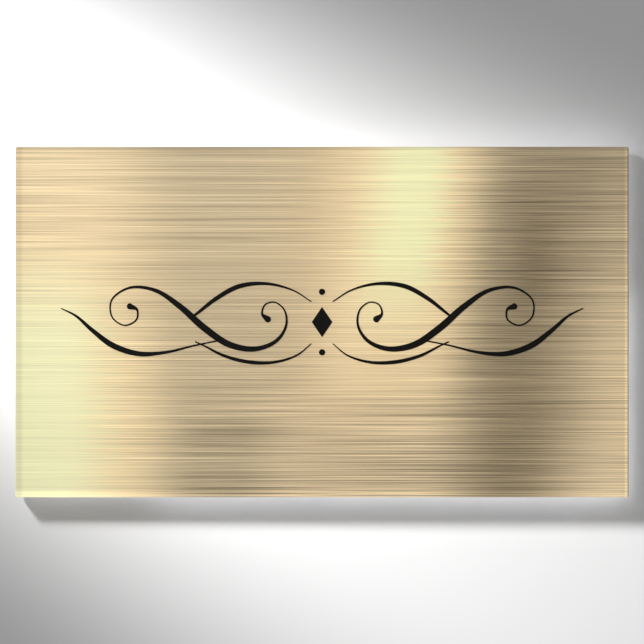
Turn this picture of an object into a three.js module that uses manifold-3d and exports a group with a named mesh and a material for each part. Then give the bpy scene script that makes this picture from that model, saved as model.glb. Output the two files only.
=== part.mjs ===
import * as THREE from "three";
import { mergeVertices } from "three/addons/utils/BufferGeometryUtils.js";
import Module from "manifold-3d";

// A name badge: a clear acrylic slab over a brushed gold sheet, with a plain
// scrollwork ornament printed in black between them, and one magnetic bar
// stuck to the back. Sizes are in millimetres. +X runs along the badge, +Y up
// its face and +Z out of the face. The origin is under the middle of the bar.

// The outline is a card's, and it has nearly sharp corners.
const badgeLength = 88.9;
const badgeHeight = 50.8;
const faceCornerRadius = 0.2;

// The clear slab has a narrow polished bevel round both of its faces.
const slabThickness = 3;
const edgeBevel = 0.2;

// The gold sheet is cut with the slab, so it has the slab's outline.
const sheetThickness = 0.5;

// The print is a thin layer, sealed between the sheet and the slab.
const inkThickness = 0.06;
const inkClearance = 0.02;

// The bar lies across the middle of the back, on a thin line of glue.
const barLength = 45;
const barHeight = 13;
const barThickness = 1.2;
const barCornerRadius = 2;
const glueLine = 0.1;

// The ornament stops short of the badge's ends by its margin.
const ornamentMargin = 6.4;
const ornamentHeight = 12;
const nibWidth = 1;
const lozengeLength = 3;
const lozengeHeight = 4.4;
const dotDiameter = 0.9;
const dotSpacing = 8.8;

// How finely the curves are cut.
const penStep = 0.45;
const capSides = 6;
const cornerSides = 4;
const dotSides = 24;

// Levels of the stack, from the surface that the badge lies on.
const sheetLevel = barThickness + glueLine;
const inkLevel = sheetLevel + sheetThickness + inkClearance;
const slabLevel = inkLevel + inkThickness + inkClearance;

const halfOrnamentLength = badgeLength / 2 - ornamentMargin;
const halfOrnamentHeight = ornamentHeight / 2;

// Pen strokes of the right half of the ornament. Each row is a point on the
// middle of a stroke: across is a share of the ornament's half length, up is
// a share of its half height, and pen is a share of the nib's width.
const penStrokes = {
  scroll: [
    { across: 0.208, up: 0.07, pen: 0.95 },
    { across: 0.229, up: 0.2, pen: 0.34 },
    { across: 0.218, up: 0.42, pen: 0.22 },
    { across: 0.182, up: 0.48, pen: 0.2 },
    { across: 0.145, up: 0.3, pen: 0.24 },
    { across: 0.137, up: -0.07, pen: 0.34 },
    { across: 0.174, up: -0.45, pen: 0.52 },
    { across: 0.253, up: -0.65, pen: 0.72 },
    { across: 0.353, up: -0.55, pen: 0.92 },
    { across: 0.453, up: -0.13, pen: 1 },
    { across: 0.542, up: 0.37, pen: 0.86 },
    { across: 0.639, up: 0.77, pen: 0.55 },
    { across: 0.737, up: 0.83, pen: 0.34 },
    { across: 0.805, up: 0.53, pen: 0.24 },
    { across: 0.803, up: 0.12, pen: 0.22 },
    { across: 0.755, up: -0.08, pen: 0.22 },
    { across: 0.71, up: 0.06, pen: 0.24 },
    { across: 0.708, up: 0.3, pen: 0.34 },
    { across: 0.735, up: 0.38, pen: 0.9 },
  ],
  tail: [
    { across: 0.379, up: -0.43, pen: 0.2 },
    { across: 0.489, up: -0.57, pen: 0.24 },
    { across: 0.595, up: -0.73, pen: 0.42 },
    { across: 0.7, up: -0.77, pen: 0.72 },
    { across: 0.8, up: -0.57, pen: 0.84 },
    { across: 0.879, up: -0.2, pen: 0.62 },
    { across: 0.942, up: 0.15, pen: 0.34 },
    { across: 0.998, up: 0.33, pen: 0.14 },
  ],
  upperSwash: [
    { across: 0.042, up: 0.5, pen: 0.16 },
    { across: 0.111, up: 0.77, pen: 0.24 },
    { across: 0.211, up: 0.93, pen: 0.44 },
    { across: 0.316, up: 0.87, pen: 0.66 },
    { across: 0.405, up: 0.57, pen: 0.6 },
    { across: 0.474, up: 0.23, pen: 0.4 },
    { across: 0.495, up: 0.13, pen: 0.3 },
  ],
  lowerSwash: [
    { across: 0.042, up: -0.53, pen: 0.14 },
    { across: 0.095, up: -0.8, pen: 0.24 },
    { across: 0.179, up: -0.97, pen: 0.4 },
    { across: 0.279, up: -0.97, pen: 0.54 },
    { across: 0.374, up: -0.82, pen: 0.44 },
    { across: 0.453, up: -0.57, pen: 0.24 },
    { across: 0.484, up: -0.48, pen: 0.18 },
  ],
};

const solids = await Module();
solids.setup();

function toSolid(geometry) {
  const bare = geometry.clone();
  bare.deleteAttribute("normal");
  bare.deleteAttribute("uv");
  const merged = mergeVertices(bare);
  return new solids.Manifold(new solids.Mesh({
    numProp: 3,
    vertProperties: new Float32Array(merged.attributes.position.array),
    triVerts: new Uint32Array(merged.index.array),
  }));
}

function toGeometry(solid) {
  const mesh = solid.getMesh();
  const geometry = new THREE.BufferGeometry();
  geometry.setAttribute("position", new THREE.BufferAttribute(mesh.vertProperties, 3));
  geometry.setIndex(new THREE.BufferAttribute(mesh.triVerts, 1));
  geometry.computeVertexNormals();
  return geometry;
}

function roundedRectangle(length, height, radius) {
  const x = length / 2;
  const y = height / 2;
  const shape = new THREE.Shape();
  shape.moveTo(-x + radius, -y);
  shape.lineTo(x - radius, -y);
  shape.absarc(x - radius, -y + radius, radius, -Math.PI / 2, 0);
  shape.lineTo(x, y - radius);
  shape.absarc(x - radius, y - radius, radius, 0, Math.PI / 2);
  shape.lineTo(-x + radius, y);
  shape.absarc(-x + radius, y - radius, radius, Math.PI / 2, Math.PI);
  shape.lineTo(-x, -y + radius);
  shape.absarc(-x + radius, -y + radius, radius, Math.PI, Math.PI * 1.5);
  return shape;
}

function plate(length, height, radius, thickness) {
  return new THREE.ExtrudeGeometry(roundedRectangle(length, height, radius), {
    depth: thickness,
    bevelEnabled: false,
    curveSegments: cornerSides,
  });
}

// The bevel grows outwards from the flat of the face to the full outline.
function bevelledPlate(length, height, flatRadius, thickness, bevel) {
  const flat = roundedRectangle(length - 2 * bevel, height - 2 * bevel, flatRadius);
  const geometry = new THREE.ExtrudeGeometry(flat, {
    depth: thickness - 2 * bevel,
    bevelEnabled: true,
    bevelThickness: bevel,
    bevelSize: bevel,
    bevelSegments: 2,
    curveSegments: cornerSides,
  });
  return geometry.translate(0, 0, bevel);
}

// The third coordinate of each point on the line carries the stroke's width.
function penLine(rows, side) {
  const points = rows.map((row) => new THREE.Vector3(
    side * row.across * halfOrnamentLength,
    row.up * halfOrnamentHeight,
    row.pen * nibWidth,
  ));
  const curve = new THREE.CatmullRomCurve3(points, false, "centripetal");
  return curve.getSpacedPoints(Math.ceil(curve.getLength() / penStep));
}

// Half a circle of points round a stroke's end, clockwise from its rim.
function roundCap(centre, rim) {
  const points = [];
  for (let step = 1; step < capSides; step += 1) {
    points.push(rim.clone().rotateAround(centre, -Math.PI * step / capSides));
  }
  return points;
}

function penOutline(line) {
  const left = [];
  const right = [];
  line.forEach((point, index) => {
    const before = line[Math.max(index - 1, 0)];
    const after = line[Math.min(index + 1, line.length - 1)];
    const way = new THREE.Vector2(after.x - before.x, after.y - before.y).normalize();
    const reach = point.z / 2;
    left.push(new THREE.Vector2(point.x - way.y * reach, point.y + way.x * reach));
    right.push(new THREE.Vector2(point.x + way.y * reach, point.y - way.x * reach));
  });
  const start = line[0];
  const end = line[line.length - 1];
  const endCap = roundCap(new THREE.Vector2(end.x, end.y), left[left.length - 1]);
  const startCap = roundCap(new THREE.Vector2(start.x, start.y), right[0]);
  return [...left, ...endCap, ...right.reverse(), ...startCap];
}

function inkLayer(outline, sides) {
  return new THREE.ExtrudeGeometry(outline, {
    depth: inkThickness,
    bevelEnabled: false,
    curveSegments: sides,
  });
}

// The strokes of one half join where they cross, so each half is one piece.
function scrollwork(side) {
  const strokes = Object.values(penStrokes).map((rows) => {
    const outline = new THREE.Shape(penOutline(penLine(rows, side)));
    return toSolid(inkLayer(outline, capSides));
  });
  return toGeometry(strokes.reduce((joined, stroke) => joined.add(stroke)));
}

function lozenge() {
  return new THREE.Shape([
    new THREE.Vector2(lozengeLength / 2, 0),
    new THREE.Vector2(0, lozengeHeight / 2),
    new THREE.Vector2(-lozengeLength / 2, 0),
    new THREE.Vector2(0, -lozengeHeight / 2),
  ]);
}

function dot(up) {
  const shape = new THREE.Shape();
  shape.absarc(0, up, dotDiameter / 2, 0, Math.PI * 2);
  return shape;
}

const finishes = {
  clearAcrylic: { color: 0xf2f6f5, roughness: 0.05, metalness: 0, transparent: true, opacity: 0.25 },
  brushedGold: { color: 0xcbb389, roughness: 0.4, metalness: 0.7 },
  blackInk: { color: 0x161514, roughness: 0.5, metalness: 0 },
  platedSteel: { color: 0xb9bcc0, roughness: 0.35, metalness: 1 },
};

const badge = new THREE.Group();

function addPiece(name, geometry, finish, level) {
  const piece = new THREE.Mesh(geometry, new THREE.MeshStandardMaterial(finish));
  piece.name = name;
  piece.position.z = level;
  badge.add(piece);
}

const outlineRadius = faceCornerRadius + edgeBevel;
addPiece(
  "clear_slab",
  bevelledPlate(badgeLength, badgeHeight, faceCornerRadius, slabThickness, edgeBevel),
  finishes.clearAcrylic,
  slabLevel,
);
addPiece(
  "gold_sheet",
  plate(badgeLength, badgeHeight, outlineRadius, sheetThickness),
  finishes.brushedGold,
  sheetLevel,
);
addPiece(
  "magnet_bar",
  plate(barLength, barHeight, barCornerRadius, barThickness),
  finishes.platedSteel,
  0,
);

addPiece("ink_scroll_right", scrollwork(1), finishes.blackInk, inkLevel);
addPiece("ink_scroll_left", scrollwork(-1), finishes.blackInk, inkLevel);
addPiece("ink_lozenge", inkLayer(lozenge(), capSides), finishes.blackInk, inkLevel);
addPiece("ink_dot_upper", inkLayer(dot(dotSpacing / 2), dotSides), finishes.blackInk, inkLevel);
addPiece("ink_dot_lower", inkLayer(dot(-dotSpacing / 2), dotSides), finishes.blackInk, inkLevel);

export default badge;
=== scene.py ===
# %% [markdown]
# # A brushed gold name badge, lying on a pale table
# The real object is a small flat sandwich: clear polished acrylic in front,
# a brushed gold sheet behind it, black print between the two, and a steel bar
# on the back that a loose magnet clamps to through the wearer's clothes.
# The CAD frame gives the sizes. This lesson dresses it with finer meshes,
# materials made from nodes, soft light from one corner and a camera that
# looks down.

# %% Load the frame
import math

import bmesh
import bpy
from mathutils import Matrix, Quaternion, Vector


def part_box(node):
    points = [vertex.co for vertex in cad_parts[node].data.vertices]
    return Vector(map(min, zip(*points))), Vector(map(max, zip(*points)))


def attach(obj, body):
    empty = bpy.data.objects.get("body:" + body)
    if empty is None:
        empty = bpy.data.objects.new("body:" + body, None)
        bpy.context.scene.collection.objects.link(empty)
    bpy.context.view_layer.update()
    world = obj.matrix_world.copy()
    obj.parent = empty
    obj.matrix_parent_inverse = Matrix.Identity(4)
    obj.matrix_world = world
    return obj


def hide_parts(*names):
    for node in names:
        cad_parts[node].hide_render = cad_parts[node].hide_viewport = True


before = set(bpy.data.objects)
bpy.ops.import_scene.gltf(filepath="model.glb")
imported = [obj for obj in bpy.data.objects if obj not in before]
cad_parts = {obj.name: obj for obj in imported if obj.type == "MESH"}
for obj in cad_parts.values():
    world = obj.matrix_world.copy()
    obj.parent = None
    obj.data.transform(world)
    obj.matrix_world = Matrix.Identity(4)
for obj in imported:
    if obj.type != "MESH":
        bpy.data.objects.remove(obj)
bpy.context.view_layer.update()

mm = 0.001

# %% [markdown]
# ## The camera
# The photograph looks straight down, with the badge's long side level. A
# camera with no rotation already looks down, so only its height and lens need
# choosing. The badge fills 613.5 of the picture's 644 pixels, which fixes the
# width of the view, and the slight perspective at the rims suggests a camera
# about 45 cm away.

# %% Place the camera
slab_low, slab_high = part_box("clear_slab")
badge_length = slab_high.x - slab_low.x
badge_height = slab_high.y - slab_low.y
face_level = slab_high.z
eye_distance = 450 * mm
picture_pixels = 644
badge_pixels = 613.5
view_width = badge_length * picture_pixels / badge_pixels

lens = bpy.data.cameras.new("straight_down")
lens.sensor_width = 36
lens.lens = lens.sensor_width * eye_distance / view_width
camera = bpy.data.objects.new("straight_down", lens)
camera.location = (0, 0, face_level + eye_distance)
bpy.context.scene.collection.objects.link(camera)
bpy.context.scene.camera = camera
print("lens", round(lens.lens, 1), "mm, view", round(view_width / mm, 1), "mm wide")

# %% [markdown]
# ## Plates with worked edges
# The slab, the sheet and the bar are all flat plates whose edges have been
# worked: polished round, sheared or tumbled. A cube with a bevel modifier
# could do it, but the shading of its big faces then needs care. Here each
# plate is skinned from rings of points, from the bottom face up to the top
# face. An extra ring just inside each face keeps the big flats truly flat in
# the shading, which matters most for clear acrylic, because it bends light.

# %% Put points round a plate
def rounded_outline(length, height, radius, corner_steps=8):
    """Points round a rectangle with round corners, counter-clockwise."""
    points = []
    for corner, (right, up) in enumerate(((1, 1), (-1, 1), (-1, -1), (1, -1))):
        for step in range(corner_steps + 1):
            angle = math.pi / 2 * (corner + step / corner_steps)
            x = right * (length / 2 - radius) + radius * math.cos(angle)
            y = up * (height / 2 - radius) + radius * math.sin(angle)
            points.append((x, y))
    return points


point_count = len(rounded_outline(badge_length, badge_height, 1 * mm))
print("points round a plate:", point_count)


# %% Lay rings from face to face
def edge_rings(low, high, bottom_round, top_round, steps=5):
    """How far in and how high each ring lies, from the bottom face to the top."""
    support = 0.05 * mm
    turns = [math.pi / 2 * step / steps for step in range(steps + 1)]
    rings = [(bottom_round + support, low)]
    for turn in turns:
        rings.append((bottom_round * (1 - math.sin(turn)), low + bottom_round * (1 - math.cos(turn))))
    for turn in turns:
        rings.append((top_round * (1 - math.cos(turn)), high - top_round * (1 - math.sin(turn))))
    rings.append((top_round + support, high))
    return rings


ring_count = len(edge_rings(0, 1 * mm, bottom_round=0.1 * mm, top_round=0.1 * mm))
print("rings on a plate:", ring_count)


# %% Skin the rings
def finish_mesh(name, build, smooth=True):
    """Turns a bmesh into an object at the origin, with faces pointing out."""
    bmesh.ops.recalc_face_normals(build, faces=build.faces)
    mesh = bpy.data.meshes.new(name)
    build.to_mesh(mesh)
    build.free()
    for face in mesh.polygons:
        face.use_smooth = smooth
    piece = bpy.data.objects.new(name, mesh)
    bpy.context.scene.collection.objects.link(piece)
    return piece


def skin_plate(name, length, height, radius, rings):
    """A closed plate: one loop of points to a ring, joined by quads and capped."""
    smallest_radius = 0.03 * mm
    build = bmesh.new()
    loops = []
    for inset, level in rings:
        corner = max(radius - inset, smallest_radius)
        outline = rounded_outline(length - 2 * inset, height - 2 * inset, corner)
        loops.append([build.verts.new((x, y, level)) for x, y in outline])
    build.faces.new(loops[0][::-1])
    build.faces.new(loops[-1])
    for below, above in zip(loops, loops[1:]):
        for here in range(len(below)):
            there = (here + 1) % len(below)
            build.faces.new((below[here], below[there], above[there], above[here]))
    return finish_mesh(name, build)


print("faces on a plate:", point_count * (ring_count - 1) + 2)

# %% [markdown]
# ## The clear front
# On the real badge the print is bonded to the back of the acrylic, so there is
# no air between them and nothing mirrors at the joint. A renderer shows an air
# gap wherever two surfaces only nearly meet. So the slab's underside is let a
# hundredth of a millimetre into the gold sheet, and a ray that comes down
# through the acrylic meets the gold or the ink first.

# %% Skin the acrylic slab
sheet_low, sheet_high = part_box("gold_sheet")
bond = 0.01 * mm
slab_corner = 0.3 * mm
acrylic_front = skin_plate(
    "acrylic_front", badge_length, badge_height, slab_corner,
    edge_rings(sheet_high.z - bond, face_level, bottom_round=0.02 * mm, top_round=0.2 * mm))
print("acrylic front:", len(acrylic_front.data.polygons), "faces")

# %% [markdown]
# ## The gold sheet
# The sheet is cut together with the slab, so it has the same outline. A real
# cut leaves a hair of softness on its two edges. The sheet also gets a UV map
# whose U runs along the badge, because the brushing runs that way and the
# metal's stretched highlights need a direction to follow. The sheet is a
# hundredth of a millimetre smaller all round than the slab, so that their
# sides never share a plane.

# %% Skin the gold sheet
edge_play = 0.01 * mm
gold_backing = skin_plate(
    "gold_backing", badge_length - 2 * edge_play, badge_height - 2 * edge_play, slab_corner,
    edge_rings(sheet_low.z, sheet_high.z, bottom_round=0.06 * mm, top_round=0.02 * mm, steps=3))


def lay_brush_map(piece, length, height):
    """A UV map with U along the badge and V up its face."""
    layer = piece.data.uv_layers.new(name="brushing")
    for corner in piece.data.loops:
        point = piece.data.vertices[corner.vertex_index].co
        layer.data[corner.index].uv = (point.x / length + 0.5, point.y / height + 0.5)


lay_brush_map(gold_backing, badge_length, badge_height)
print("gold backing:", round((sheet_high.z - sheet_low.z) / mm, 2), "mm thick")

# %% [markdown]
# ## The bar on the back
# The back isn't in the picture. Badges of this kind carry a flat plated steel
# bar that the wearer's loose magnet grips, so it is one plain plate with
# tumbled edges, seated against the sheet with a thin line of glue between.

# %% Skin the steel bar
bar_low, bar_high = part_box("magnet_bar")
bar_length = bar_high.x - bar_low.x
bar_height = bar_high.y - bar_low.y
bar_corner = 2 * mm
tumbled = 0.15 * mm
back_bar = skin_plate(
    "back_bar", bar_length, bar_height, bar_corner,
    edge_rings(bar_low.z, bar_high.z, bottom_round=tumbled, top_round=tumbled, steps=4))
print("back bar:", round(bar_length / mm, 1), "mm long")

# %% [markdown]
# ## The printed ornament
# A scrollwork divider is printed in black along the middle of the face, drawn
# the way a broad pen draws: each stroke swells and thins as it travels. A
# curve object gives a round tube, and ink is flat, so the strokes are made as
# flat ribbons instead. Each row of the table is one point on the middle of a
# stroke: how far across the half ornament, how far up, and how wide the pen
# presses there. A smooth spline runs through the rows.

# %% Points of the pen strokes
ornament_margin = 6.4 * mm
half_length = badge_length / 2 - ornament_margin
half_height = 6 * mm
nib = 1 * mm

pen_strokes = {
    # across, up and pen width, as shares of the half length, the half height and the nib
    "scroll": [
        (0.208, 0.07, 0.95), (0.229, 0.2, 0.34), (0.218, 0.42, 0.22), (0.182, 0.48, 0.2),
        (0.145, 0.3, 0.24), (0.137, -0.07, 0.34), (0.174, -0.45, 0.52), (0.253, -0.65, 0.72),
        (0.353, -0.55, 0.92), (0.453, -0.13, 1), (0.542, 0.37, 0.86), (0.639, 0.77, 0.55),
        (0.737, 0.83, 0.34), (0.805, 0.53, 0.24), (0.803, 0.12, 0.22), (0.755, -0.08, 0.22),
        (0.71, 0.06, 0.24), (0.708, 0.3, 0.34), (0.735, 0.38, 0.9)],
    "tail": [
        (0.379, -0.43, 0.2), (0.489, -0.57, 0.24), (0.595, -0.73, 0.42), (0.7, -0.77, 0.72),
        (0.8, -0.57, 0.84), (0.879, -0.2, 0.62), (0.942, 0.15, 0.34), (0.998, 0.33, 0.14)],
    "upper_swash": [
        (0.042, 0.5, 0.16), (0.111, 0.77, 0.24), (0.211, 0.93, 0.44), (0.316, 0.87, 0.66),
        (0.405, 0.57, 0.6), (0.474, 0.23, 0.4), (0.495, 0.13, 0.3)],
    "lower_swash": [
        (0.042, -0.53, 0.14), (0.095, -0.8, 0.24), (0.179, -0.97, 0.4), (0.279, -0.97, 0.54),
        (0.374, -0.82, 0.44), (0.453, -0.57, 0.24), (0.484, -0.48, 0.18)],
}
print("pen strokes in each half:", len(pen_strokes))

# %% [markdown]
# ## From points to a pen line
# The spline here passes through every chosen point. Its clock runs by the
# square root of each gap, which keeps it from looping between two close
# points, so a drawn curl stays a curl. Each sample carries the pen's width as
# a third number, and the width then swells as smoothly as the line bends.

# %% Smooth the pen lines
def between(one, two, start, end, here):
    """The point at here, on the way from one at start to two at end."""
    share = (here - start) / (end - start)
    return tuple(a + (b - a) * share for a, b in zip(one, two))


def smooth_line(rows, side, spans=14):
    """Points (x, y, width) on a smooth line through the rows, in metres."""
    chosen = [(side * a * half_length, b * half_height, w * nib) for a, b, w in rows]
    before = tuple(2 * p - q for p, q in zip(chosen[0], chosen[1]))
    after = tuple(2 * p - q for p, q in zip(chosen[-1], chosen[-2]))
    padded = [before, *chosen, after]
    line = []
    for at in range(1, len(padded) - 2):
        p0, p1, p2, p3 = padded[at - 1:at + 3]
        t1 = math.dist(p0, p1) ** 0.5
        t2 = t1 + math.dist(p1, p2) ** 0.5
        t3 = t2 + math.dist(p2, p3) ** 0.5
        for step in range(spans):
            t = t1 + (t2 - t1) * step / spans
            a1 = between(p0, p1, 0, t1, t)
            a2 = between(p1, p2, t1, t2, t)
            a3 = between(p2, p3, t2, t3, t)
            b1 = between(a1, a2, 0, t2, t)
            b2 = between(a2, a3, t1, t3, t)
            line.append(between(b1, b2, t1, t2, t))
    line.append(chosen[-1])
    return line


print("points on the scroll's line:", len(smooth_line(pen_strokes["scroll"], 1)))

# %% [markdown]
# ## Ribbons of ink
# A stroke becomes solid by giving every point of its line a left and a right
# edge, half a pen width away, on two levels. The round ends need no special
# cap: a few more cross sections run on past the last point and shrink as a
# half circle does. The lower level bites a trace into the gold, so that no gap
# shows under the ink.

# %% Cut a pen line into cross sections
def cross_sections(line, end_steps=6):
    """Rows (x, y, ahead x, ahead y, half width), round at both ends."""
    # Short of a right angle, so that the last section keeps some width.
    last_turn = math.radians(84)
    sections = []
    for at, (x, y, width) in enumerate(line):
        back_x, back_y, _ = line[max(at - 1, 0)]
        next_x, next_y, _ = line[min(at + 1, len(line) - 1)]
        span = math.hypot(next_x - back_x, next_y - back_y)
        sections.append((x, y, (next_x - back_x) / span, (next_y - back_y) / span, width / 2))
    for way, (x, y, ahead_x, ahead_y, half) in ((-1, sections[0]), (1, sections[-1])):
        for step in range(1, end_steps + 1):
            turn = last_turn * step / end_steps
            out = way * half * math.sin(turn)
            tip_half = half * math.cos(turn)
            section = (x + ahead_x * out, y + ahead_y * out, ahead_x, ahead_y, tip_half)
            sections.insert(len(sections) if way > 0 else 0, section)
    return sections


tail_line = smooth_line(pen_strokes["tail"], 1)
print("cross sections of a tail:", len(cross_sections(tail_line)))

# %% Make a ribbon between two levels
ink_low, ink_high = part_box("ink_lozenge")
ink_bite = 0.005 * mm
ink_floor = sheet_high.z - ink_bite
ink_top = ink_floor + (ink_high.z - ink_low.z)


def pen_ribbon(name, line):
    """A closed flat ribbon of ink along a pen line."""
    build = bmesh.new()
    rails = []
    for x, y, ahead_x, ahead_y, half in cross_sections(line):
        edges = ((x - ahead_y * half, y + ahead_x * half), (x + ahead_y * half, y - ahead_x * half))
        rails.append([build.verts.new((*edge, level)) for level in (ink_floor, ink_top) for edge in edges])
    for near, far in zip(rails, rails[1:]):
        for one, two in ((0, 1), (1, 3), (3, 2), (2, 0)):
            build.faces.new((near[one], near[two], far[two], far[one]))
    for end in (rails[0], rails[-1]):
        build.faces.new((end[0], end[1], end[3], end[2]))
    return finish_mesh(name, build, smooth=False)


print("the ink is", round((ink_top - ink_floor) / mm, 3), "mm thick")

# %% [markdown]
# ## Joining the strokes
# Printed ink has no seams where one stroke crosses another. The four ribbons
# of a half are therefore joined by boolean unions into one body, as they are
# in the CAD model. The left half is drawn from the same table with the other
# sign, so both halves stay exact mirrors.

# %% Print the two scrolls
def print_scroll(name, side):
    """All the strokes of one half, joined into one printed piece."""
    ribbons = [pen_ribbon(f"{name}_{stroke}", smooth_line(rows, side))
               for stroke, rows in pen_strokes.items()]
    scroll = ribbons[0]
    for ribbon in ribbons[1:]:
        union = scroll.modifiers.new("join " + ribbon.name, "BOOLEAN")
        union.operation = "UNION"
        union.solver = "EXACT"
        union.object = ribbon
    bpy.context.view_layer.update()
    graph = bpy.context.evaluated_depsgraph_get()
    joined = bpy.data.meshes.new_from_object(scroll.evaluated_get(graph))
    for ribbon in ribbons:
        bpy.data.objects.remove(ribbon)
    piece = bpy.data.objects.new(name, joined)
    bpy.context.scene.collection.objects.link(piece)
    return piece


ink_right = print_scroll("printed_scroll_right", 1)
ink_left = print_scroll("printed_scroll_left", -1)
print("scroll faces:", len(ink_right.data.polygons))


# %% Check that the scrolls are closed
def open_edges(piece):
    """Edges without exactly two faces. A closed piece has none."""
    build = bmesh.new()
    build.from_mesh(piece.data)
    count = sum(1 for edge in build.edges if len(edge.link_faces) != 2)
    build.free()
    return count


print("open edges:", open_edges(ink_right), open_edges(ink_left))

# %% [markdown]
# ## The middle of the ornament
# A lozenge stands between the scrolls with a dot above and below it, as a
# printer's divider has. Each is a flat patch of ink, so a ring of points and
# a second ring above it are enough.

# %% Print the lozenge and the dots
def print_patch(name, outline):
    """A flat patch of ink inside an outline."""
    build = bmesh.new()
    lower = [build.verts.new((x, y, ink_floor)) for x, y in outline]
    upper = [build.verts.new((x, y, ink_top)) for x, y in outline]
    build.faces.new(lower[::-1])
    build.faces.new(upper)
    for here in range(len(outline)):
        there = (here + 1) % len(outline)
        build.faces.new((lower[here], lower[there], upper[there], upper[here]))
    return finish_mesh(name, build, smooth=False)


side_steps = 8
lozenge_corners = [(ink_high.x, 0), (0, ink_high.y), (-ink_high.x, 0), (0, -ink_high.y)]
lozenge_outline = [
    between(one, two, 0, side_steps, step)
    for one, two in zip(lozenge_corners, lozenge_corners[1:] + lozenge_corners[:1])
    for step in range(side_steps)]
ink_lozenge = print_patch("printed_lozenge", lozenge_outline)


def dot_outline(node, sides=48):
    """Points round the circle that a dot's CAD node fills."""
    low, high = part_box(node)
    radius = (high.x - low.x) / 2
    middle = (low.y + high.y) / 2
    turns = [2 * math.pi * step / sides for step in range(sides)]
    return [(radius * math.cos(turn), middle + radius * math.sin(turn)) for turn in turns]


ink_upper_dot = print_patch("printed_dot_upper", dot_outline("ink_dot_upper"))
ink_lower_dot = print_patch("printed_dot_lower", dot_outline("ink_dot_lower"))
print("ink stands", round((ink_top - sheet_high.z) / mm, 3), "mm above the gold")

# %% [markdown]
# ## Helpers for finishes
# Every finish below starts from the Principled shader and from the position on
# the piece in metres, so a streak can be given its real size. Metal that has
# been brushed is noise drawn out along one direction: squeezed across the
# brushing and stretched along it.

# %% Paint, a new finish and a wire
def paint(red, green, blue):
    """A screen colour from 0 to 255, as the linear colour that a shader wants."""
    channels = [level / 255 for level in (red, green, blue)]
    return (*(c / 12.92 if c <= 0.04045 else ((c + 0.055) / 1.055) ** 2.4 for c in channels), 1)


def new_finish(name):
    """A material, its node tree and its Principled shader."""
    finish = bpy.data.materials.new(name)
    finish.use_nodes = True
    return finish, finish.node_tree, finish.node_tree.nodes["Principled BSDF"]


def wire(tree, value, socket):
    """Links an output to a socket, or sets the socket to a plain value."""
    if isinstance(value, bpy.types.NodeSocket):
        tree.links.new(value, socket)
    else:
        socket.default_value = value


print("paint(255, 255, 255) is", paint(255, 255, 255))


# %% Places and grains
def place_on(tree):
    """Where a point lies on the piece, in metres."""
    return tree.nodes.new("ShaderNodeTexCoord").outputs["Object"]


def place_parts(tree):
    """The same place as three numbers, named X, Y and Z."""
    parts = tree.nodes.new("ShaderNodeSeparateXYZ")
    tree.links.new(place_on(tree), parts.inputs["Vector"])
    return parts.outputs


def streaks(tree, along, across, detail=2.0, roughness=0.5, start=0.0):
    """Noise in long grains of a given length and width, in millimetres, from 0 to 1."""
    stretch = tree.nodes.new("ShaderNodeMapping")
    stretch.inputs["Scale"].default_value = (1 / (along * mm), 1 / (across * mm), 0)
    # Every start looks at another part of the noise, so no two grains are alike.
    stretch.inputs["Location"].default_value = (start, start * 1.7, start)
    tree.links.new(place_on(tree), stretch.inputs["Vector"])
    noise = tree.nodes.new("ShaderNodeTexNoise")
    noise.inputs["Scale"].default_value = 1
    noise.inputs["Detail"].default_value = detail
    noise.inputs["Roughness"].default_value = roughness
    tree.links.new(stretch.outputs["Vector"], noise.inputs["Vector"])
    return noise.outputs["Fac"]


print("a grain 0.5 mm wide needs a noise scale of", round(1 / (0.5 * mm)))


# %% Sums, ramps and layers
def reckon(tree, operation, one, two):
    """One step of arithmetic on two values."""
    step = tree.nodes.new("ShaderNodeMath")
    step.operation = operation
    wire(tree, one, step.inputs[0])
    wire(tree, two, step.inputs[1])
    return step.outputs[0]


def rescale(tree, value, start, end, low=0.0, high=1.0, smooth=False):
    """Low before start, high after end, and an even or smooth change between."""
    step = tree.nodes.new("ShaderNodeMapRange")
    step.interpolation_type = "SMOOTHSTEP" if smooth else "LINEAR"
    wire(tree, value, step.inputs["Value"])
    wire(tree, start, step.inputs["From Min"])
    wire(tree, end, step.inputs["From Max"])
    wire(tree, low, step.inputs["To Min"])
    wire(tree, high, step.inputs["To Max"])
    return step.outputs["Result"]


def lay_over(tree, share, under, over, how="MIX"):
    """One colour laid over another by a share from 0 to 1."""
    step = tree.nodes.new("ShaderNodeMix")
    step.data_type = "RGBA"
    step.blend_type = how
    # A Mix node has sockets for each kind of data. The colours are 6, 7 and out 2.
    wire(tree, share, step.inputs[0])
    wire(tree, under, step.inputs[6])
    wire(tree, over, step.inputs[7])
    return step.outputs[2]


print("made reckon, rescale and lay_over, which take plain values or sockets")
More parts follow.
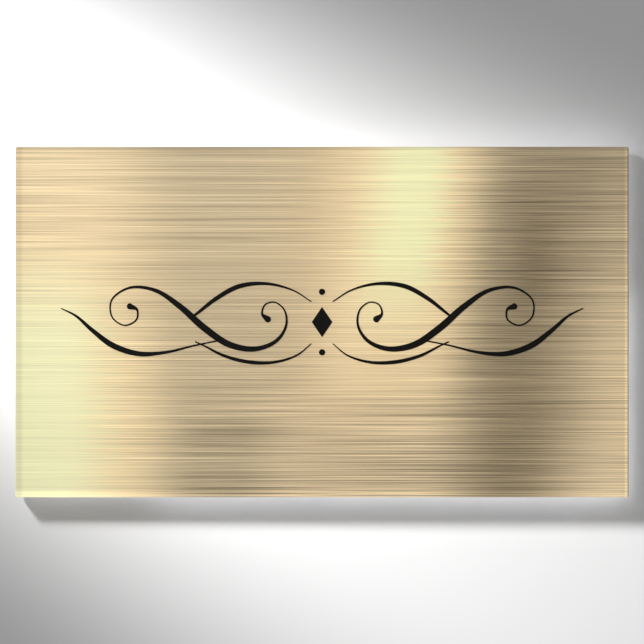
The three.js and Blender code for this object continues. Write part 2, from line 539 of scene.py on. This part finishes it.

# %% [markdown]
# ## Brushed gold
# Brushed metal shows two things at once. Fine level streaks come from the
# brush, and broad upright bands come from the room that the streaks smear
# together. Here those bands are painted reflections, laid into the gold's
# colour: a bright painted highlight right of the middle, a painted dark band
# beyond it, a pale yellow painted glow low on the left. So each band is a soft
# patch with its own reach, laid over a base gold. A band has its own streak
# strength too, because the streaks nearly vanish in the glow and stand out in
# the dark. The grain shifts every streak a little along the badge, so a band's
# edge is torn as if by a brush. The painted reflections lie on the face alone,
# so the back of the sheet stays in the base gold.

# %% Where the painted sheen bands of the gold lie
gold_base = paint(194, 176, 145)
# Each band is painted sheen: a reflection of the room laid into the gold's colour.
painted_sheen_bands = [
    # x, then y: faint, full, full, faint (mm); lean (x for each y); colour; share; streaks
    ("left_warm", (-90, -80, -35, -18), (-60, -50, 50, 60), 0, paint(226, 204, 166), 1, 1.15),
    ("middle_warm", (-14, 6, 16, 27), (-60, -50, 50, 60), 0, paint(209, 187, 152), 1, 1.45),
    ("lower_run", (-22, -8, 24, 40), (-60, -50, -14, -4), 0, paint(205, 184, 151), 1, 2.2),
    ("lower_dim", (-24, -17, -13, -3), (-60, -50, -18, -6), 0, paint(176, 160, 131), 1, 2.0),
    ("peach_halo", (-5, 6, 17, 26), (-17, -6, 50, 60), 0.1, paint(234, 210, 169), 1, 0.8),
    ("bright_band", (0.5, 9.5, 12, 18), (-6, 12, 50, 60), 0.15, paint(239, 236, 189), 1, 0.3),
    ("left_halo", (-90, -80, -31, -21), (-60, -50, -6, 12), 0, paint(232, 209, 168), 1, 1.3),
    ("left_glow", (-90, -80, -38, -27), (-60, -50, -4, 14), 0, paint(237, 233, 191), 1, 0.45),
    ("dark_band", (15, 29, 60, 70), (-60, -50, 16, 40), 0.1, paint(146, 131, 104), 1, 1.9),
    ("darkest", (26, 30, 31, 36), (-2, 6, 11, 18), 0.1, paint(129, 114, 89), 0.8, 1.8),
    ("right_light", (29, 48, 60, 70), (-60, -50, -20, 38), 0, paint(240, 215, 176), 1, 1.1),
    ("right_edge", (38, 44, 60, 70), (-60, -50, 50, 60), 0, paint(216, 194, 158), 0.2, 1.1),
    ("right_foot", (26, 52, 60, 70), (-60, -50, -24, -12), 0, paint(226, 203, 167), 1, 1.5),
]
print("bands on the gold:", [band[0] for band in painted_sheen_bands])

# %% Start the gold with three grains
gold, tree, shader = new_finish("brushed_gold")
broad_grain = streaks(tree, along=90, across=1.3, detail=1, start=3)
middle_grain = streaks(tree, along=48, across=0.24, detail=1, start=11)
fine_grain = streaks(tree, along=34, across=0.085, detail=1, start=23)

position = place_parts(tree)
tear_width = 9 * mm
tear = reckon(tree, "MULTIPLY", reckon(tree, "SUBTRACT", middle_grain, 0.5), tear_width)
torn_x = reckon(tree, "ADD", position["X"], tear)
print("gold nodes with three grains:", len(tree.nodes))


# %% Lay the painted sheen bands
def soft_patch(tree, value, faint_in, full_in, full_out, faint_out):
    """1 between the two full marks, fading to 0 at the faint ones, in millimetres."""
    rise = rescale(tree, value, faint_in * mm, full_in * mm, smooth=True)
    fall = rescale(tree, value, full_out * mm, faint_out * mm, 1.0, 0.0, smooth=True)
    return reckon(tree, "MULTIPLY", rise, fall)


gold_colour = gold_base
streak_strength = 1.0
for name, across, upward, lean, colour, share, strength in painted_sheen_bands:
    leaning_x = reckon(tree, "SUBTRACT", torn_x, reckon(tree, "MULTIPLY", position["Y"], lean))
    patch = reckon(tree, "MULTIPLY", soft_patch(tree, leaning_x, *across),
                   soft_patch(tree, position["Y"], *upward))
    patch = reckon(tree, "MULTIPLY", patch, share)
    gold_colour = lay_over(tree, patch, gold_colour, colour)
    gold_colour.node.label = name
    streak_strength = rescale(tree, patch, 0.0, 1.0, streak_strength, strength)
# The painted sheen bands fade out just below the face, so the back and the sides of the sheet keep the base
# gold.
sheen_gone_below = sheet_high.z - 0.2 * mm
sheen_full_above = sheet_high.z - 0.1 * mm
sheen_on_face = rescale(tree, position["Z"], sheen_gone_below, sheen_full_above)
gold_colour = lay_over(tree, sheen_on_face, gold_base, gold_colour)
print("gold nodes after the bands:", len(tree.nodes))

# %% [markdown]
# ## What the rims do to the gold
# Close to its polished rims the slab bends light on its way to the gold. The
# rim that faces the lamp keeps a little shade, and the rims away from it
# gather light in a narrow line. Those lines belong to the look of every clear
# plate, so each one is a tone laid over the gold at its distance from the rim.

# %% Tone the gold along its rims
rim_tones = [
    # rim; distance from it as faint, full, full, faint (mm); tone
    ("left", (-2, -1, 0.4, 1.1), 0.86),
    ("top", (-2, -1, 0.25, 0.5), 0.87),
    ("bottom", (0, 0.15, 0.5, 1.2), 1.27),
    ("right", (-2, -1, 0.3, 0.45), 1.22),
]
right_rim = badge_length / 2
top_rim = badge_height / 2
from_rim = {
    "left": reckon(tree, "ADD", right_rim, position["X"]),
    "right": reckon(tree, "SUBTRACT", right_rim, position["X"]),
    "bottom": reckon(tree, "ADD", top_rim, position["Y"]),
    "top": reckon(tree, "SUBTRACT", top_rim, position["Y"]),
}
rim_tone = 1.0
for rim, marks, tone in rim_tones:
    line = soft_patch(tree, from_rim[rim], *marks)
    rim_tone = reckon(tree, "MULTIPLY", rim_tone, rescale(tree, line, 0.0, 1.0, 1.0, tone))
print("toned rims:", list(from_rim))

# %% [markdown]
# ## The brushing itself
# A brush leaves grains of every width, so three noises are added up: broad,
# middle and fine, each with its own swing between light and dark. Only the
# highest peaks of two more noises show, as single bright and dark hairs. The
# same grains ripple the surface a little, and the shader's tangent follows
# them, so a highlight on the gold is stretched and not round.

# %% Add up the grains
grain_low = 0.3
grain_high = 0.7
brushing = 0.0
for grain, swing in ((broad_grain, 0.04), (middle_grain, 0.08), (fine_grain, 0.26)):
    brushing = reckon(tree, "ADD", brushing, rescale(tree, grain, grain_low, grain_high, -swing, swing))

hair_swing = 0.2
bright_hairs = rescale(tree, streaks(tree, along=44, across=0.11, detail=0, start=37), 0.66, 0.74)
dark_hairs = rescale(tree, streaks(tree, along=50, across=0.12, detail=0, start=53), 0.66, 0.76)
brushing = reckon(tree, "ADD", brushing, reckon(tree, "MULTIPLY", bright_hairs, hair_swing))
brushing = reckon(tree, "SUBTRACT", brushing, reckon(tree, "MULTIPLY", dark_hairs, hair_swing))
print("gold nodes with the hairs:", len(tree.nodes))

# %% Brush the gold
tone = reckon(tree, "ADD", reckon(tree, "MULTIPLY", brushing, streak_strength), 1.0)
tone = reckon(tree, "MULTIPLY", tone, rim_tone)
gold_colour = lay_over(tree, 1.0, gold_colour, tone, "MULTIPLY")
tree.links.new(gold_colour, shader.inputs["Base Color"])
gold_roughness = rescale(tree, middle_grain, grain_low, grain_high, 0.44, 0.56)
tree.links.new(gold_roughness, shader.inputs["Roughness"])
shader.inputs["Metallic"].default_value = 0.25
shader.inputs["Anisotropic"].default_value = 0.6

brush_way = tree.nodes.new("ShaderNodeTangent")
brush_way.direction_type = "UV_MAP"
brush_way.uv_map = "brushing"
tree.links.new(brush_way.outputs["Tangent"], shader.inputs["Tangent"])
print("gold nodes with the tangent:", len(tree.nodes))


# %% Ripple the gold
def engrave(tree, shader, height, strength, depth):
    """Lets a pattern show as fine relief in the shading."""
    bump = tree.nodes.new("ShaderNodeBump")
    bump.inputs["Strength"].default_value = strength
    bump.inputs["Distance"].default_value = depth
    tree.links.new(height, bump.inputs["Height"])
    tree.links.new(bump.outputs["Normal"], shader.inputs["Normal"])


furrows = reckon(tree, "ADD", middle_grain, fine_grain)
engrave(tree, shader, furrows, strength=0.35, depth=0.01 * mm)
print("gold nodes:", len(tree.nodes))

# %% [markdown]
# ## Black ink
# Screen-printed black is dense but never perfectly even: the mesh leaves a
# faint mottle in its gloss. It sits under the acrylic, so it needs hardly any
# shine of its own.

# %% Mix the ink
ink, tree, shader = new_finish("black_ink")
mottle = streaks(tree, along=0.5, across=0.5, detail=4, start=5)
ink_colour = lay_over(tree, mottle, paint(6, 6, 5), paint(11, 10, 10))
tree.links.new(ink_colour, shader.inputs["Base Color"])
ink_roughness = rescale(tree, mottle, grain_low, grain_high, 0.45, 0.65)
tree.links.new(ink_roughness, shader.inputs["Roughness"])
shader.inputs["Specular IOR Level"].default_value = 0.1
print("ink nodes:", len(tree.nodes))

# %% [markdown]
# ## Clear acrylic
# Polished acrylic is the Principled shader with full transmission and its true
# index of refraction, 1.49. Handling leaves a breath of haze that varies over
# the face, so the roughness comes from a soft noise and isn't a plain zero.
# The narrow rounded rims that face away from the lamp, or that see only the
# dark of the room, look like a fine grey line, so the clear tint turns grey in
# the last few tenths of a millimetre there.

# %% Cast the acrylic
acrylic, tree, shader = new_finish("clear_acrylic")
haze = streaks(tree, along=9, across=7, detail=3, start=2)
tree.links.new(rescale(tree, haze, 0.35, 0.7, 0.0, 0.03), shader.inputs["Roughness"])
position = place_parts(tree)
near_right = rescale(tree, position["X"], right_rim - 0.22 * mm, right_rim - 0.12 * mm)
near_top = rescale(tree, position["Y"], top_rim - 0.28 * mm, top_rim - 0.18 * mm)
clear_tint = paint(250, 253, 251)
top_grey = paint(178, 180, 176)
right_grey = paint(112, 113, 109)
tint = lay_over(tree, reckon(tree, "MULTIPLY", near_top, 0.6), clear_tint, top_grey)
tint = lay_over(tree, near_right, tint, right_grey)
tree.links.new(tint, shader.inputs["Base Color"])
shader.inputs["IOR"].default_value = 1.49
shader.inputs["Transmission Weight"].default_value = 1
print("acrylic nodes:", len(tree.nodes))

# %% [markdown]
# ## Plated steel
# The bar is nickel-plated steel, rolled and lightly tumbled: a cool metal with
# a faint long grain, small scuffs and a satin gloss that changes over it.

# %% Plate the steel
steel, tree, shader = new_finish("plated_steel")
rolled = streaks(tree, along=14, across=0.12, detail=3, start=8)
scuffs = streaks(tree, along=2.4, across=0.5, detail=5, roughness=0.7, start=17)
scuffs = rescale(tree, scuffs, 0.58, 0.75)
steel_colour = lay_over(tree, rolled, paint(176, 178, 181), paint(206, 207, 209))
steel_colour = lay_over(tree, scuffs, steel_colour, paint(170, 171, 173))
tree.links.new(steel_colour, shader.inputs["Base Color"])
steel_roughness = rescale(tree, rolled, grain_low, grain_high, 0.24, 0.36)
steel_roughness = reckon(tree, "ADD", steel_roughness, reckon(tree, "MULTIPLY", scuffs, 0.12))
tree.links.new(steel_roughness, shader.inputs["Roughness"])
shader.inputs["Metallic"].default_value = 1
engrave(tree, shader, rolled, strength=0.25, depth=0.01 * mm)
print("steel nodes:", len(tree.nodes))

# %% [markdown]
# ## Dress the frame
# Each finer piece rides with the badge's one rigid body, takes its finish,
# and stands in for the CAD solid that it covers, which is hidden.

# %% Put finishes on pieces
dressing = [
    (acrylic_front, acrylic, "clear_acrylic", "clear_slab"),
    (gold_backing, gold, "brushed_gold", "gold_sheet"),
    (back_bar, steel, "plated_steel", "magnet_bar"),
    (ink_right, ink, "black_ink", "ink_scroll_right"),
    (ink_left, ink, "black_ink", "ink_scroll_left"),
    (ink_lozenge, ink, "black_ink", "ink_lozenge"),
    (ink_upper_dot, ink, "black_ink", "ink_dot_upper"),
    (ink_lower_dot, ink, "black_ink", "ink_dot_lower"),
]
for piece, finish, slot, node in dressing:
    piece.data.materials.clear()
    piece.data.materials.append(finish)
    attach(piece, "root")
    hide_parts(node)
    print(piece.name, "stands for", node, "in", slot)

# %% [markdown]
# ## The table
# The badge lies on a matt white surface. A flat plane is right here, with a
# little unevenness in its tone so that it doesn't look like empty space. It
# lies a trace below the bar, so that the two never share a plane.

# %% Lay the table
table_reach = 1.2
table_level = -0.02 * mm
table_build = bmesh.new()
corners = [table_build.verts.new((x * table_reach, y * table_reach, table_level))
           for x, y in ((-1, -1), (1, -1), (1, 1), (-1, 1))]
table_build.faces.new(corners)
table_top = finish_mesh("table_top", table_build, smooth=False)
matt_white, tree, shader = new_finish("matt_white")
unevenness = streaks(tree, along=60, across=60, detail=3, start=4)
table_colour = lay_over(tree, unevenness, paint(229, 229, 229), paint(233, 233, 233))
tree.links.new(table_colour, shader.inputs["Base Color"])
shader.inputs["Roughness"].default_value = 0.9
shader.inputs["Specular IOR Level"].default_value = 0.1
table_top.data.materials.append(matt_white)
print("table", 2 * table_reach, "m square")

# %% [markdown]
# ## Light
# One soft spotlight stands beyond the top left corner, about as high as it is
# far. The shadow below and right of the badge gives its place, and the width
# of the shadow's soft edge gives its size. The pool of light is a long oval
# that runs away from the lamp. A spotlight that is scaled along its own Y axis
# throws such an oval, and a roll about its beam turns the oval.
#
# Lamp light that enters the slab's face can't leave by its sides again, so a
# clear slab casts a real shadow, yet the gold under it is fully lit. A
# renderer finds that path only by luck. So there are two lamps in one line,
# and light linking gives each its own pieces. The near one lights the table
# and everything blocks it. The far one lights the gold and the ink evenly,
# and the slab doesn't block it.

# %% A lamp that lights chosen pieces
lamp_softness = 0.115  # the lamp's radius as a share of its distance


def light_only(lamp, lit):
    """Lets a lamp light some pieces and no others."""
    lamp.light_linking.receiver_collection = bpy.data.collections.new(lamp.name + "_lights")
    for piece in lit:
        lamp.light_linking.receiver_collection.objects.link(piece)


def soft_spot(name, place, aim, energy, half_angle, blend, stretch, roll, lit, blocking=None):
    """A spotlight that lights some pieces and is blocked by some, or by all. Angles in radians."""
    lamp = bpy.data.lights.new(name, "SPOT")
    lamp.energy = energy
    lamp.shadow_soft_size = lamp_softness * place.length
    lamp.spot_size = 2 * half_angle
    lamp.spot_blend = blend
    spot = bpy.data.objects.new(name, lamp)
    spot.location = place
    spot.rotation_mode = "QUATERNION"
    spot.rotation_quaternion = (aim - place).to_track_quat("-Z", "Y") @ Quaternion((0, 0, 1), roll)
    spot.scale = (1, stretch, 1)
    spot.visible_transmission = False
    bpy.context.scene.collection.objects.link(spot)
    light_only(spot, lit)
    if blocking:
        spot.light_linking.blocker_collection = bpy.data.collections.new(name + "_meets")
        for piece in blocking:
            spot.light_linking.blocker_collection.objects.link(piece)


print("a lamp 1 m away is", 2 * lamp_softness, "m wide")

# %% Light the table and the face
near_place = Vector((-116, 94, 130)) * mm
pool_middle = Vector((24.5, -24, 0)) * mm
soft_spot("table_spot", near_place, pool_middle, energy=3.03, half_angle=0.233, blend=0.79,
          stretch=3.6, roll=0.24, lit=[table_top, back_bar])

far_place = 3 * near_place
badge_middle = Vector((0, 0, 0))
printed_face = [gold_backing, ink_right, ink_left, ink_lozenge, ink_upper_dot, ink_lower_dot]
soft_spot("face_spot", far_place, badge_middle, energy=18, half_angle=0.3, blend=1,
          stretch=1, roll=0, lit=printed_face, blocking=[*printed_face, back_bar, table_top])
print("near lamp at", [round(v / mm) for v in near_place], "mm")

# %% [markdown]
# ## Light that leaves by the rims
# The gold scatters light inside the slab, and a good part of it runs out
# through the polished sides and falls on the table close to the badge. That is
# why the shadow is lightest right beside the badge and darkens outwards. A
# path tracer meets this light too rarely, so thin strips hang just outside the
# rims instead. They face down, light the table alone and can't be seen. A low
# strip makes a narrow line of light and a high one a broad band. The upper rim
# faces the lamp and mirrors some of its light onto the table, so it has a
# strip as well. The strips are a trace cooler than the lamp, and that evens out
# the warm tint that the gold gives the shadow.

# %% Hang strips along the rims
rim_strips = [
    # rim; from and to along it (mm); height (mm); milliwatts a metre
    ("bottom", -43, 44, 1.4, 2.6),
    ("bottom", -24, 44, 4, 6.3),
    ("right", -25, 25, 1.6, 2.4),
    ("right", -25, 4, 2.2, 3.0),
    ("left", -25, 25, 1.2, 0.6),
    ("top", -44, 44, 4.5, 8),
]
strip_width = 0.2 * mm
milliwatt = 0.001
cool_white = (0.98, 1, 1.05)
for rim, start, end, height, strength in rim_strips:
    lamp = bpy.data.lights.new(rim + "_rim_strip", "AREA")
    lamp.shape = "RECTANGLE"
    lamp.size = (end - start) * mm
    lamp.size_y = strip_width
    lamp.energy = strength * milliwatt * lamp.size
    lamp.color = cool_white
    strip = bpy.data.objects.new(lamp.name, lamp)
    middle = (start + end) / 2 * mm
    if rim in ("bottom", "top"):
        side = 1 if rim == "top" else -1
        strip.location = (middle, side * (top_rim + strip_width), height * mm)
    else:
        side = 1 if rim == "right" else -1
        strip.location = (side * (right_rim + strip_width), middle, height * mm)
        strip.rotation_euler.z = math.pi / 2
    strip.visible_camera = strip.visible_glossy = strip.visible_transmission = False
    bpy.context.scene.collection.objects.link(strip)
    light_only(strip, [table_top])
    print(strip.name, round(lamp.energy / milliwatt, 2), "mW")

# %% [markdown]
# ## The room
# An even grey room fills the rest, with a dark patch right overhead, where a
# camera hangs: the glossy face mirrors it, which keeps the black print black.

# %% Build the room
room = bpy.data.worlds.new("grey_room")
room.use_nodes = True
tree = room.node_tree
upward = tree.nodes.new("ShaderNodeSeparateXYZ")
tree.links.new(tree.nodes.new("ShaderNodeTexCoord").outputs["Generated"], upward.inputs["Vector"])
room_grey = (0.37, 0.37, 0.37, 1)
overhead_dark = (0.03, 0.03, 0.03, 1)
patch_edge = math.cos(math.radians(16))
patch_core = math.cos(math.radians(9))
overhead = rescale(tree, upward.outputs["Z"], patch_edge, patch_core, smooth=True)
tree.links.new(lay_over(tree, overhead, room_grey, overhead_dark), tree.nodes["Background"].inputs["Color"])
bpy.context.scene.world = room
bpy.context.scene.view_settings.view_transform = "Standard"
print("world:", room.name)
